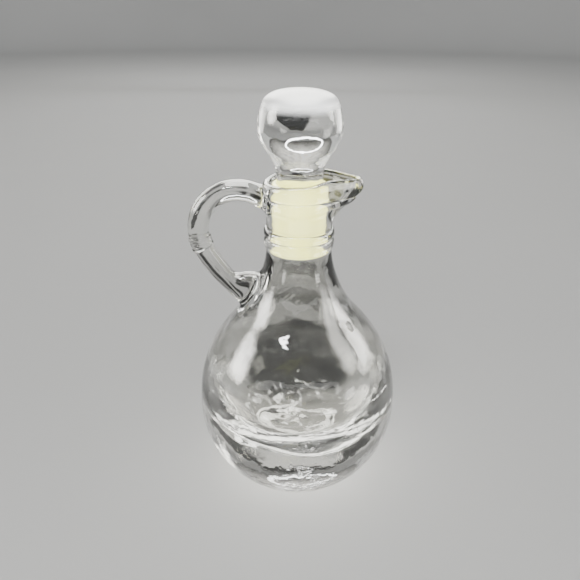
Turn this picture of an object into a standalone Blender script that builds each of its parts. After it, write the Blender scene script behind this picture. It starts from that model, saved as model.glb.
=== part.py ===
"""Glass cruet: a bottle with a spout and a looped handle, a ball stopper and its plastic sleeve.

The bottle is one piece of glass, standing on the ring of its hollowed foot.
The stopper's shank sits in a plastic cup, and both sit in the bottle's neck.
Run it with blender --background --python part.py, or from the text editor.
"""

import math

import bmesh
import bpy
import numpy as np
from mathutils import Vector

MM = 0.001

# The bottle's axis stands off the origin, so that the handle and the belly reach equally far
AXIS_X = 1.0 * MM

# Foot and belly
FOOT_INNER_RADIUS = 18.8 * MM
FOOT_OUTER_RADIUS = 22.4 * MM
FOOT_HOLLOW = 1.8 * MM
FOOT_HOLLOW_PULLS = (9.0 * MM, 15.0 * MM)
BELLY_RADIUS = 41.0 * MM
BELLY_HEIGHT = 33.5 * MM
FOOT_EDGE_ANGLE = math.radians(-52.5)

# Shoulder and neck
SHOULDER_RADIUS = 24.0 * MM
SHOULDER_HEIGHT = 74.4 * MM
SHOULDER_SLOPE = math.radians(43.0)
SHOULDER_PULL = 17.3 * MM
BELLY_PULL = 17.8 * MM
NECK_RADIUS = 12.75 * MM
NECK_FOOT_HEIGHT = 102.0 * MM
NECK_PULL = 8.0 * MM
NECK_SHOULDER_PULL = 9.5 * MM
LOWER_BEAD_HEIGHT = 104.4 * MM
LOWER_BEAD_HALF = 2.2 * MM
UPPER_BEAD_HEIGHT = 108.4 * MM
UPPER_BEAD_HALF = 1.8 * MM
BEAD_PROUD = 0.9 * MM
WAIST_RADIUS = 12.5 * MM
WAIST_LOW_HEIGHT = 112.6 * MM
WAIST_HIGH_HEIGHT = 116.0 * MM
RING_HEIGHT = 120.9 * MM
RING_HALF = 1.7 * MM
RING_PROUD = 0.9 * MM
RING_SEAT_RADIUS = 12.95 * MM

# Mouth and spout
LIP_RADIUS = 14.2 * MM
LIP_INNER_RADIUS = 11.0 * MM
LIP_HEIGHT = 129.2 * MM
LIP_OUTER_HEIGHT = 126.1 * MM
LIP_FOOT_RADIUS = 13.05 * MM
LIP_FOOT_PULL = (13.4 * MM, 123.4 * MM)
LIP_SIDE_PULL = 1.3 * MM
LIP_OVER_PULLS = (130.1 * MM, 130.4 * MM)
LIP_INNER_HEIGHT = 126.4 * MM
BORE_RADIUS = 10.65 * MM
BORE_MOUTH_HEIGHT = 122.8 * MM
BORE_STEP_HEIGHTS = (119.2 * MM, 115.6 * MM, 107.0 * MM)
SPOUT_REACH = 23.8 * MM
SPOUT_TIP_RADIUS = 2.7 * MM
RIM_RISE = 1.1 * MM
RIM_RISE_ANGLE = math.radians(36.0)
RIM_RISE_WIDTH = math.radians(28.0)
RIM_DROP = 1.4 * MM
SPOUT_START = 110.8 * MM
SPOUT_FULL = 125.8 * MM
CHANNEL_START = 114.2 * MM
CHANNEL_FULL = 129.2 * MM
SWELL_PULLS = (0.46, 0.70)

# Inside of the bottle
BASE_THICKNESS = 20.0 * MM
FLOOR_PULL = 23.0 * MM
CAVITY_RADIUS = 37.0 * MM
CAVITY_HEIGHT = 45.0 * MM
CAVITY_UPPER_PULL = 11.5 * MM
CAVITY_LOWER_PULL = 12.0 * MM
CAVITY_SHOULDER_RADIUS = 20.6 * MM
CAVITY_SHOULDER_HEIGHT = 73.0 * MM
CAVITY_SHOULDER_PULLS = (6.5 * MM, 10.0 * MM)
CAVITY_NECK_HEIGHT = 98.0 * MM
CAVITY_NECK_PULL = 12.0 * MM

# Handle, whose loop lies in the plane of the spout
LOOP_CENTRE_X = -23.2 * MM
LOOP_CENTRE_Z = 108.5 * MM
LOOP_RADIUS = 15.65 * MM
LOOP_START_ANGLE = math.radians(63.0)
HANDLE_RADIUS = 4.1 * MM
HANDLE_LOWER_RADIUS = 3.85 * MM
HANDLE_TOP_END = (-11.4 * MM, 121.1 * MM)
HANDLE_TOP_PULL = 1.8 * MM
HANDLE_FOOT_END = (-18.9 * MM, 78.2 * MM)
HANDLE_FOOT_PULL = (-31.5 * MM, 90.6 * MM)
HANDLE_SIDE_PULL = 8.2 * MM
COLLAR_HEIGHT = 103.4 * MM
COLLAR_BEADS = 3
COLLAR_PITCH = 1.7 * MM
COLLAR_PROUD = 0.5 * MM
COLLAR_STEP = 0.36 * MM
TAPER_START = 0.4
FLARE_GAIN = 1.2 * MM
FLARE_LENGTH = 3.0 * MM
PAD_CENTRE = (-19.8 * MM, 0.0, 84.6 * MM)
PAD_RADII = (7.8 * MM, 4.7 * MM, 6.6 * MM)

# Stopper
KNOB_TOP = 161.2 * MM
KNOB_TOP_PULL = 6.0 * MM
KNOB_CROWN_PULL = (11.4 * MM, 160.3 * MM)
KNOB_RIM_RADIUS = 13.2 * MM
KNOB_RIM_HEIGHT = 157.6 * MM
KNOB_RIM_PULL = (14.3 * MM, 155.4 * MM)
KNOB_RADIUS = 15.6 * MM
KNOB_HEIGHT = 148.2 * MM
KNOB_UPPER_PULL = 3.8 * MM
KNOB_LOWER_PULL = 7.3 * MM
SHANK_RADIUS = 9.0 * MM
SHANK_HEIGHT = 132.0 * MM
SHANK_PULL = 4.8 * MM
SHANK_SLEEVE_RADIUS = 8.65 * MM
SHANK_END_RADIUS = 8.0 * MM
SHANK_END_HEIGHT = 102.0 * MM
SHANK_ROUNDING = 1.6 * MM

# Sleeve
SLEEVE_RADIUS = 10.3 * MM
SLEEVE_BOTTOM = 100.3 * MM
SLEEVE_TOP = 127.2 * MM
SLEEVE_FLOOR = 1.3 * MM
SLEEVE_ROUNDING = 1.5 * MM
SLEEVE_GAP = 0.35 * MM

# Steps round and along
BOTTLE_STEPS = 52
STOPPER_STEPS = 36
TUBE_SIDES = 14
PAD_SIDES = 16
PAD_RINGS = 10
SHARP_EDGE = math.radians(40.0)
MERGE = 1e-6


def clear_scene():
    """Remove every object of the open scene."""
    for thing in list(bpy.data.objects):
        bpy.data.objects.remove(thing, do_unlink=True)


def make_material(name, colour, roughness, transmission):
    """Principled material in one colour."""
    material = bpy.data.materials.new(name)
    material.use_nodes = True
    shader = material.node_tree.nodes["Principled BSDF"]
    shader.inputs["Base Color"].default_value = (*colour, 1.0)
    shader.inputs["Roughness"].default_value = roughness
    shader.inputs["Metallic"].default_value = 0.0
    shader.inputs["Transmission Weight"].default_value = transmission
    return material


def bezier(start, pull_a, pull_b, end, count):
    """Points of one cubic curve, its start left out and its end kept."""
    t = np.linspace(0.0, 1.0, count + 1)[1:, None]
    a, b, c, d = (np.array(point, float) for point in (start, pull_a, pull_b, end))
    return (1 - t) ** 3 * a + 3 * (1 - t) ** 2 * t * b + 3 * (1 - t) * t**2 * c + t**3 * d


def arc(centre, radius, first, last, count):
    """Points of a circle's arc from one angle to another, both ends kept."""
    angle = np.linspace(first, last, count)
    return np.stack([centre[0] + radius * np.cos(angle), centre[1] + radius * np.sin(angle)], 1)


def bead(radius, height, half, proud, count):
    """Points of a rounded ring that stands proud of a straight neck, going up."""
    turn = np.linspace(0.0, math.pi, count)
    return np.stack([radius + proud * np.sin(turn), height - half * np.cos(turn)], 1)


def outer_profile():
    """Outside of the bottle as (radius, height), from the foot's centre up to the lip."""
    slope = np.array([-math.sin(SHOULDER_SLOPE), math.cos(SHOULDER_SLOPE)])
    shoulder = np.array([SHOULDER_RADIUS, SHOULDER_HEIGHT])
    near, far = FOOT_HOLLOW_PULLS
    hollow = bezier((0, FOOT_HOLLOW), (near, FOOT_HOLLOW), (far, FOOT_HOLLOW),
                    (FOOT_INNER_RADIUS, 0), 5)
    belly = arc((0, BELLY_HEIGHT), BELLY_RADIUS, FOOT_EDGE_ANGLE, 0.0, 10)
    up_shoulder = bezier((BELLY_RADIUS, BELLY_HEIGHT), (BELLY_RADIUS, BELLY_HEIGHT + BELLY_PULL),
                         shoulder - SHOULDER_PULL * slope, shoulder, 10)
    up_neck = bezier(shoulder, shoulder + NECK_SHOULDER_PULL * slope,
                     (NECK_RADIUS, NECK_FOOT_HEIGHT - NECK_PULL), (NECK_RADIUS, NECK_FOOT_HEIGHT), 8)
    lip = bezier((LIP_FOOT_RADIUS, RING_HEIGHT + RING_HALF), LIP_FOOT_PULL,
                 (LIP_RADIUS, LIP_OUTER_HEIGHT - LIP_SIDE_PULL), (LIP_RADIUS, LIP_OUTER_HEIGHT), 3)
    return np.concatenate([
        [(0, FOOT_HOLLOW)], hollow, [(FOOT_OUTER_RADIUS, 0)], belly, up_shoulder, up_neck,
        bead(NECK_RADIUS, LOWER_BEAD_HEIGHT, LOWER_BEAD_HALF, BEAD_PROUD, 6),
        bead(NECK_RADIUS, UPPER_BEAD_HEIGHT, UPPER_BEAD_HALF, BEAD_PROUD, 6)[1:],
        [(WAIST_RADIUS, WAIST_LOW_HEIGHT), (WAIST_RADIUS, WAIST_HIGH_HEIGHT)],
        bead(RING_SEAT_RADIUS, RING_HEIGHT, RING_HALF, RING_PROUD, 5), lip])


def inner_profile():
    """Lip and inside of the bottle as (radius, height), down to the middle of its floor."""
    outer_pull, inner_pull = LIP_OVER_PULLS
    over_lip = bezier((LIP_RADIUS, LIP_OUTER_HEIGHT), (LIP_RADIUS, outer_pull),
                      (LIP_INNER_RADIUS, inner_pull), (LIP_INNER_RADIUS, LIP_INNER_HEIGHT), 7)
    bore = [(BORE_RADIUS, z) for z in (BORE_MOUTH_HEIGHT, *BORE_STEP_HEIGHTS, CAVITY_NECK_HEIGHT)]
    shoulder = np.array([CAVITY_SHOULDER_RADIUS, CAVITY_SHOULDER_HEIGHT])
    neck_side, belly_side = CAVITY_SHOULDER_PULLS
    down_neck = bezier(bore[-1], (BORE_RADIUS, CAVITY_NECK_HEIGHT - CAVITY_NECK_PULL),
                       shoulder + (-neck_side, neck_side), shoulder, 7)
    down_shoulder = bezier(shoulder, shoulder + (belly_side, -belly_side),
                           (CAVITY_RADIUS, CAVITY_HEIGHT + CAVITY_UPPER_PULL),
                           (CAVITY_RADIUS, CAVITY_HEIGHT), 7)
    floor = bezier(down_shoulder[-1], (CAVITY_RADIUS, CAVITY_HEIGHT - CAVITY_LOWER_PULL),
                   (FLOOR_PULL, BASE_THICKNESS), (0, BASE_THICKNESS), 8)
    return np.concatenate([over_lip, bore, down_neck, down_shoulder, floor])


def spout_share(angle):
    """Share of the spout's reach at an angle, from the hull of the mouth's circle and the tip's."""
    centre = SPOUT_REACH - SPOUT_TIP_RADIUS
    leave = math.acos((LIP_RADIUS - SPOUT_TIP_RADIUS) / centre)
    turn = abs(math.atan2(math.sin(angle), math.cos(angle)))
    if turn >= leave:
        return 0.0
    side = LIP_RADIUS / math.cos(leave - turn)
    inside = SPOUT_TIP_RADIUS**2 - (centre * math.sin(turn)) ** 2
    tip = centre * math.cos(turn) + math.sqrt(inside) if inside > 0.0 else side
    return (min(side, tip) - LIP_RADIUS) / (SPOUT_REACH - LIP_RADIUS)


def spout_swell(height, start, full):
    """How far the spout has opened at a height, from 0 at its start to 1 at the lip."""
    span = full - start
    early, late = SWELL_PULLS
    curve = bezier((start, 0), (start + early * span, 0), (start + late * span, 1), (full, 1), 24)
    return float(np.interp(height, np.append(start, curve[:, 0]), np.append(0.0, curve[:, 1])))


def rim_lift(angle):
    """Height that the lip gains beside the spout and loses towards the handle."""
    turn = abs(math.atan2(math.sin(angle), math.cos(angle)))
    rise = RIM_RISE * math.exp(-(((turn - RIM_RISE_ANGLE) / RIM_RISE_WIDTH) ** 2))
    return rise - RIM_DROP * (0.5 - 0.5 * math.cos(turn)) ** 3


def spin_profile(bm, profile, steps):
    """Turn a profile of (radius, height) points about the upright axis into a closed skin."""
    verts = [bm.verts.new((radius, 0.0, height)) for radius, height in profile]
    edges = [bm.edges.new(pair) for pair in zip(verts, verts[1:])]
    bmesh.ops.spin(bm, geom=verts + edges, cent=(0, 0, 0), axis=(0, 0, 1),
                   angle=math.tau, steps=steps, use_merge=True, use_duplicate=False)
    bmesh.ops.remove_doubles(bm, verts=bm.verts[:], dist=MERGE)
    bmesh.ops.recalc_face_normals(bm, faces=bm.faces[:])


def pull_spout(bm, inner_start):
    """Draw the mouth out to one side: the outer skin and the channel inside it."""
    for vert in bm.verts:
        radius = math.hypot(vert.co.x, vert.co.y)
        if vert.co.z <= SPOUT_START or radius < MERGE:
            continue
        inside = radius < inner_start
        start, full = (CHANNEL_START, CHANNEL_FULL) if inside else (SPOUT_START, SPOUT_FULL)
        angle = math.atan2(vert.co.y, vert.co.x)
        share = spout_share(angle)
        swell = spout_swell(vert.co.z, start, full)
        reach = 1.0 + (SPOUT_REACH - LIP_RADIUS) * share * swell / radius
        lift = max(0.0, (vert.co.z - BORE_MOUTH_HEIGHT) / (LIP_HEIGHT - BORE_MOUTH_HEIGHT))
        vert.co = (vert.co.x * reach, vert.co.y * reach, vert.co.z + lift * rim_lift(angle))


def handle_path():
    """Middle line of the handle as (x, z) points, from the mouth round to the shoulder."""
    loop = arc((LOOP_CENTRE_X, LOOP_CENTRE_Z), LOOP_RADIUS, LOOP_START_ANGLE, math.pi, 16)
    side = loop[-1]
    along = np.array([math.sin(LOOP_START_ANGLE), -math.cos(LOOP_START_ANGLE)])
    start = np.array(HANDLE_TOP_END)
    entry = bezier(start, start - (HANDLE_TOP_PULL, 0), loop[0] + HANDLE_TOP_PULL * along, loop[0], 5)
    leg = bezier(side, (side[0], side[1] - HANDLE_SIDE_PULL), HANDLE_FOOT_PULL, HANDLE_FOOT_END, 28)
    return np.concatenate([start[None], entry, loop[1:], leg])


def handle_radii(path):
    """Tube radius at each point: a slow taper, the collar's beads and a flare at both ends."""
    steps = np.linalg.norm(np.diff(path, axis=0), axis=1)
    along = np.append(0.0, np.cumsum(steps))
    taper = np.interp(along, (TAPER_START * along[-1], along[-1]), (HANDLE_RADIUS, HANDLE_LOWER_RADIUS))
    flare = np.exp(-along / FLARE_LENGTH) + np.exp((along - along[-1]) / FLARE_LENGTH)
    below_loop = np.arange(len(path)) > len(path) // 3
    middle = np.interp(-COLLAR_HEIGHT, -path[below_loop, 1], along[below_loop])
    phase = (along - middle) / COLLAR_PITCH + 0.5 * COLLAR_BEADS
    on_collar = (phase > 0.0) & (phase < COLLAR_BEADS)
    collar = np.where(on_collar, np.abs(np.sin(np.pi * phase)), 0.0)
    return taper + FLARE_GAIN * flare + COLLAR_PROUD * collar


def add_tube(bm, path, radii):
    """Carry a circle along a path in the XZ plane, with a cap at each end."""
    ahead = np.gradient(path, axis=0)
    ahead /= np.linalg.norm(ahead, axis=1)[:, None]
    rings = []
    for (x, z), (ax, az), radius in zip(path, ahead, radii):
        ring = []
        for side in range(TUBE_SIDES):
            turn = math.tau * side / TUBE_SIDES
            out, across = radius * math.cos(turn), radius * math.sin(turn)
            ring.append(bm.verts.new((x - az * out, across, z + ax * out)))
        rings.append(ring)
    for here, there in zip(rings, rings[1:]):
        for side in range(TUBE_SIDES):
            after = (side + 1) % TUBE_SIDES
            bm.faces.new((here[side], here[after], there[after], there[side]))
    bm.faces.new(rings[0])
    bm.faces.new(rings[-1])
    bmesh.ops.recalc_face_normals(bm, faces=bm.faces[:])


def collar_path(path):
    """The handle's path with close points over the collar, so that its beads show."""
    near = np.abs(path[:, 1] - COLLAR_HEIGHT) < COLLAR_BEADS * COLLAR_PITCH
    near &= path[:, 0] < LOOP_CENTRE_X
    refined = [path[0]]
    for before, point, close in zip(path, path[1:], near[1:]):
        count = max(1, round(float(np.linalg.norm(point - before)) / COLLAR_STEP)) if close else 1
        refined.extend(np.linspace(before, point, count + 1)[1:])
    return np.array(refined)


def object_from(bm, name, material=None):
    """Put a finished bmesh into the scene as a smooth object."""
    mesh = bpy.data.meshes.new(name)
    bm.to_mesh(mesh)
    bm.free()
    thing = bpy.data.objects.new(name, mesh)
    bpy.context.scene.collection.objects.link(thing)
    mesh.shade_smooth()
    mesh.set_sharp_from_angle(angle=SHARP_EDGE)
    if material:
        mesh.materials.append(material)
    return thing


def fuse(base, tool):
    """Union a second object into the first one, and leave the second out of the model."""
    tool.hide_render = True
    tool.display_type = "WIRE"
    joint = base.modifiers.new("Fuse " + tool.name, "BOOLEAN")
    joint.operation = "UNION"
    joint.solver = "MANIFOLD"
    joint.object = tool


def build_bottle(root, glass):
    """Glass bottle: a turned wall with its spout, fused with the handle and its pad."""
    bm = bmesh.new()
    outer, inner = outer_profile(), inner_profile()
    spin_profile(bm, np.concatenate([outer, inner]), BOTTLE_STEPS)
    pull_spout(bm, 0.5 * (LIP_RADIUS + LIP_INNER_RADIUS))
    bottle = object_from(bm, "bottle", glass)

    bm = bmesh.new()
    path = collar_path(handle_path())
    add_tube(bm, path, handle_radii(path))
    handle = object_from(bm, "handle_guide")

    bm = bmesh.new()
    bmesh.ops.create_uvsphere(bm, u_segments=PAD_SIDES, v_segments=PAD_RINGS, radius=1.0)
    bmesh.ops.scale(bm, verts=bm.verts[:], vec=PAD_RADII)
    bmesh.ops.translate(bm, verts=bm.verts[:], vec=Vector(PAD_CENTRE))
    pad = object_from(bm, "pad_guide")

    for guide in (handle, pad):
        guide.parent = root
        fuse(bottle, guide)
    bottle.parent = root
    return bottle


def stopper_profile():
    """Stopper as (radius, height) points, from the top of its knob down to the shank's end."""
    crown = bezier((0, KNOB_TOP), (KNOB_TOP_PULL, KNOB_TOP), KNOB_CROWN_PULL,
                   (KNOB_RIM_RADIUS, KNOB_RIM_HEIGHT), 6)
    upper = bezier(crown[-1], KNOB_RIM_PULL, (KNOB_RADIUS, KNOB_HEIGHT + KNOB_UPPER_PULL),
                   (KNOB_RADIUS, KNOB_HEIGHT), 5)
    lower = bezier(upper[-1], (KNOB_RADIUS, KNOB_HEIGHT - KNOB_LOWER_PULL),
                   (SHANK_RADIUS, SHANK_HEIGHT + SHANK_PULL), (SHANK_RADIUS, SHANK_HEIGHT), 9)
    end = arc((SHANK_END_RADIUS - SHANK_ROUNDING, SHANK_END_HEIGHT + SHANK_ROUNDING),
              SHANK_ROUNDING, 0.0, -0.5 * math.pi, 4)
    return np.concatenate([
        [(0, KNOB_TOP)], crown, upper, lower, [(SHANK_SLEEVE_RADIUS, SLEEVE_TOP)],
        end, [(0, SHANK_END_HEIGHT)]])


def build_stopper(root, glass):
    """Solid glass stopper with a ball knob and a tapered shank."""
    bm = bmesh.new()
    spin_profile(bm, stopper_profile(), STOPPER_STEPS)
    stopper = object_from(bm, "stopper", glass)
    stopper.parent = root
    return stopper


def sleeve_profile():
    """Plastic cup as (radius, height) points: up its inside, then down its outside."""
    top_inner = SHANK_SLEEVE_RADIUS + SLEEVE_GAP
    end_inner = SHANK_END_RADIUS + SLEEVE_GAP
    floor = SLEEVE_BOTTOM + SLEEVE_FLOOR
    outer_corner = arc((SLEEVE_RADIUS - SLEEVE_ROUNDING, SLEEVE_BOTTOM + SLEEVE_ROUNDING),
                       SLEEVE_ROUNDING, 0.0, -0.5 * math.pi, 4)
    inner_corner = arc((end_inner - SHANK_ROUNDING, floor + SHANK_ROUNDING),
                       SHANK_ROUNDING, -0.5 * math.pi, 0.0, 4)
    return np.concatenate([
        [(0, floor)], inner_corner, [(top_inner, SLEEVE_TOP), (SLEEVE_RADIUS, SLEEVE_TOP)],
        outer_corner, [(0, SLEEVE_BOTTOM)]])


def build_sleeve(root, plastic):
    """Pale plastic cup between the shank and the neck."""
    bm = bmesh.new()
    spin_profile(bm, sleeve_profile(), STOPPER_STEPS)
    sleeve = object_from(bm, "sleeve", plastic)
    sleeve.parent = root
    return sleeve


def main():
    """Build the cruet about its axis and set it on the table."""
    clear_scene()
    root = bpy.data.objects.new("cruet", None)
    bpy.context.scene.collection.objects.link(root)
    root.location = (AXIS_X, 0.0, 0.0)
    glass = make_material("clear_glass", (0.93, 0.95, 0.94), 0.03, 1.0)
    plastic = make_material("cream_plastic", (0.90, 0.90, 0.62), 0.35, 0.3)
    build_bottle(root, glass)
    build_stopper(root, glass)
    build_sleeve(root, plastic)


main()
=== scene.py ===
"""Looks of the glass cruet: its glass, stopper, plastic sleeve, table, lights and camera."""

import logging
import math
from dataclasses import dataclass, field
from enum import Enum
from typing import Any

import bpy
import numpy as np
from mathutils import Matrix, Vector

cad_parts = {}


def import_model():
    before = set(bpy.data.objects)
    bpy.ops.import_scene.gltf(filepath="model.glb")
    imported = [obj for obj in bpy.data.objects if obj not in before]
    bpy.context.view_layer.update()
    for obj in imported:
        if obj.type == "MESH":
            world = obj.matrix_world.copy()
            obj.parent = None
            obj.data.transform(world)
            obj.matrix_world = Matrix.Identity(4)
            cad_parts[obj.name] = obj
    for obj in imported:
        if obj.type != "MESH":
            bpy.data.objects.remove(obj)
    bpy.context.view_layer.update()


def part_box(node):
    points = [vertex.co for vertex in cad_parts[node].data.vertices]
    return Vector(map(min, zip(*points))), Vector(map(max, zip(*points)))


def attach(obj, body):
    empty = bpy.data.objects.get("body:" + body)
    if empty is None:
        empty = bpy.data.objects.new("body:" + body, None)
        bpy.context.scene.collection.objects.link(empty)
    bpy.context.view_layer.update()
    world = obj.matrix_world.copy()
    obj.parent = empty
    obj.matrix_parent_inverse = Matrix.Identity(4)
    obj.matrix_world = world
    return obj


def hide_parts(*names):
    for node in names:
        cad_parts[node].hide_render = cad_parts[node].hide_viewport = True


LOG = logging.getLogger("cruet")
MM = 0.001
ROOT = "root"
SHARP = math.radians(50.0)
PLATE_POWER = 0.38
PLATE_ROWS = 13
PLATE_COLUMNS = 64
Array = np.ndarray
Two = tuple[float, float]
Three = tuple[float, float, float]
Four = tuple[float, float, float, float]


def mm(*sizes: float) -> tuple[float, ...]:
    """Sizes given in millimetres, in metres."""
    return tuple(size * MM for size in sizes)


class Fuse(Enum):
    """How two closed skins are made into one."""

    UNION = "UNION"
    DIFFERENCE = "DIFFERENCE"


class Outline(Enum):
    """Shape of a lamp's face."""

    RECTANGLE = "RECTANGLE"
    ELLIPSE = "ELLIPSE"


class Slot(Enum):
    """Material slots that the record names."""

    GLASS = "glass"
    PLASTIC = "plastic"


class Ray(Enum):
    """Kinds of light ray that can be kept from meeting a thing."""

    CAMERA = "visible_camera"
    MATT = "visible_diffuse"
    MIRRORED = "visible_glossy"
    SHADOW = "visible_shadow"


@dataclass(frozen=True)
class Grain:
    """Fractal noise: its cells in a metre, its levels of detail and how much the finer ones count.

    Where it has a band, the noise is 0 below it and 1 above it, with a smooth step between.
    """

    scale: float
    detail: float = 3.0
    roughness: float = 0.5
    band: Two | None = None
    twist: float = 0.0


@dataclass
class Value:
    """A shader socket that takes part in sums and products as a number does."""

    graph: "Graph"
    socket: Any

    def _math(self, operation: str, *values: Any) -> "Value":
        """Join this socket and others in one Math node."""
        return self.graph.math(operation, *values)

    def __add__(self, other: Any) -> "Value":
        """Sum of two values."""
        return self._math("ADD", self, other)

    def __sub__(self, other: Any) -> "Value":
        """Difference of two values."""
        return self._math("SUBTRACT", self, other)

    def __rsub__(self, other: Any) -> "Value":
        """Difference with a number on the left."""
        return self._math("SUBTRACT", other, self)

    def __mul__(self, other: Any) -> "Value":
        """Product of two values."""
        return self._math("MULTIPLY", self, other)

    def __pow__(self, other: Any) -> "Value":
        """Power of a value."""
        return self._math("POWER", self, other)

    __radd__ = __add__
    __rmul__ = __mul__


@dataclass(frozen=True)
class Spot:
    """A point of a surface in the shader: its vector, its x and z, and its distance from the axis."""

    vector: Any
    x: Value
    z: Value
    radius: Value


@dataclass
class Graph:
    """Node tree of one material, with its Principled shader at hand."""

    material: bpy.types.Material

    @classmethod
    def new(cls, name: str) -> "Graph":
        """Start a material.

        Args:
            name: the material's name.

        Returns:
            The graph of a new material that holds one Principled shader.
        """
        material = bpy.data.materials.new(name)
        material.use_nodes = True
        return cls(material)

    @property
    def shader(self) -> bpy.types.Node:
        """The Principled shader."""
        return self.material.node_tree.nodes["Principled BSDF"]

    def node(self, kind: str, settings: dict[str, Any] | None = None, **sockets: Any) -> bpy.types.Node:
        """Add a node.

        Args:
            kind: the node's type.
            settings: attributes that are set before its sockets.
            sockets: values or links by socket name, an underscore for a space or "in_0" for a place.

        Returns:
            The node.
        """
        made = self.material.node_tree.nodes.new(kind)
        for key, value in (settings or {}).items():
            setattr(made, key, value)
        for key, value in sockets.items():
            place = int(key[3:]) if key.startswith("in_") else key.replace("_", " ")
            self.feed(made.inputs[place], value)
        return made

    def feed(self, socket: Any, value: Any) -> None:
        """Fill a socket.

        Args:
            socket: the input to fill.
            value: a number, a colour, a vector, a Value or another node's output.
        """
        source = value.socket if isinstance(value, Value) else value
        if hasattr(source, "is_linked"):
            self.material.node_tree.links.new(source, socket)
        else:
            socket.default_value = source

    def drive(self, name: str, value: Any) -> None:
        """Fill one of the shader's sockets."""
        self.feed(self.shader.inputs[name], value)

    def paint(self, name: str, factor: Value, first: Any, second: Any) -> None:
        """Fill one of the shader's sockets with a colour between two.

        Args:
            name: the socket's name.
            factor: share of the second colour.
            first, second: red, green and blue of the two colours.
        """
        made = self.node("ShaderNodeMix", {"data_type": "RGBA"}, in_0=factor, in_6=(*first, 1.0),
                         in_7=(*second, 1.0))
        self.drive(name, made.outputs[2])

    def math(self, operation: str, *values: Any) -> Value:
        """Work out values with one Math node.

        Args:
            operation: what the node does.
            values: its numbers or links, in order.

        Returns:
            The node's result.
        """
        made = self.node("ShaderNodeMath", {"operation": operation},
                         **{f"in_{place}": value for place, value in enumerate(values)})
        return Value(self, made.outputs[0])

    def place(self, centre: Three = (0.0, 0.0, 0.0), stretch: Three = (1.0, 1.0, 1.0)) -> Any:
        """Object coordinates moved to a centre and stretched.

        Args:
            centre: the point that becomes the middle.
            stretch: factor along each axis.

        Returns:
            The mapped vector socket.
        """
        coordinates = self.node("ShaderNodeTexCoord").outputs["Object"]
        offset = tuple(-c * s for c, s in zip(centre, stretch))
        mapped = self.node("ShaderNodeMapping", Vector=coordinates, Location=offset, Scale=stretch)
        return mapped.outputs["Vector"]

    def spot(self, axis_x: float) -> Spot:
        """Read where a point of the surface lies about an upright axis.

        Args:
            axis_x: the axis's place along X.

        Returns:
            The point, measured from the axis's foot.
        """
        vector = self.place((axis_x, 0.0, 0.0))
        apart = self.node("ShaderNodeSeparateXYZ", Vector=vector)
        x, y, z = (Value(self, apart.outputs[axis]) for axis in "XYZ")
        return Spot(vector, x, z, (x * x + y * y) ** 0.5)

    def share(self) -> Value:
        """A plate's own share of the way to its edge."""
        return Value(self, self.node("ShaderNodeAttribute", {"attribute_name": "share"}).outputs["Fac"])

    def grain(self, vector: Any, grain: Grain) -> Value:
        """Add a fractal noise.

        Args:
            vector: where the noise is read.
            grain: its scale, detail and band.

        Returns:
            The noise between 0 and 1.
        """
        made = self.node("ShaderNodeTexNoise", Vector=vector, Scale=grain.scale, Detail=grain.detail,
                         Roughness=grain.roughness, Distortion=grain.twist)
        value = Value(self, made.outputs[0])
        return self.ramp(value, grain.band) if grain.band else value

    def ramp(self, value: Value, band: Two) -> Value:
        """A smooth step from 0 at the band's start to 1 at its end."""
        made = self.node("ShaderNodeMapRange", {"interpolation_type": "SMOOTHSTEP"},
                         Value=value, From_Min=band[0], From_Max=band[1])
        return Value(self, made.outputs[0])

    def window(self, value: Value, edges: Four) -> Value:
        """A smooth step up between the first two edges and down between the last two."""
        return self.ramp(value, edges[:2]) * (1.0 - self.ramp(value, edges[2:]))

    def bump(self, height: Value, strength: float, distance: float) -> None:
        """Let a height field turn the shader's normal."""
        made = self.node("ShaderNodeBump", Height=height, Strength=strength, Distance=distance)
        self.drive("Normal", made.outputs["Normal"])

    def constants(self, **sockets: Any) -> None:
        """Set the shader's plain values, with an underscore for a space."""
        for key, value in sockets.items():
            self.shader.inputs[key.replace("_", " ")].default_value = value


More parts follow.
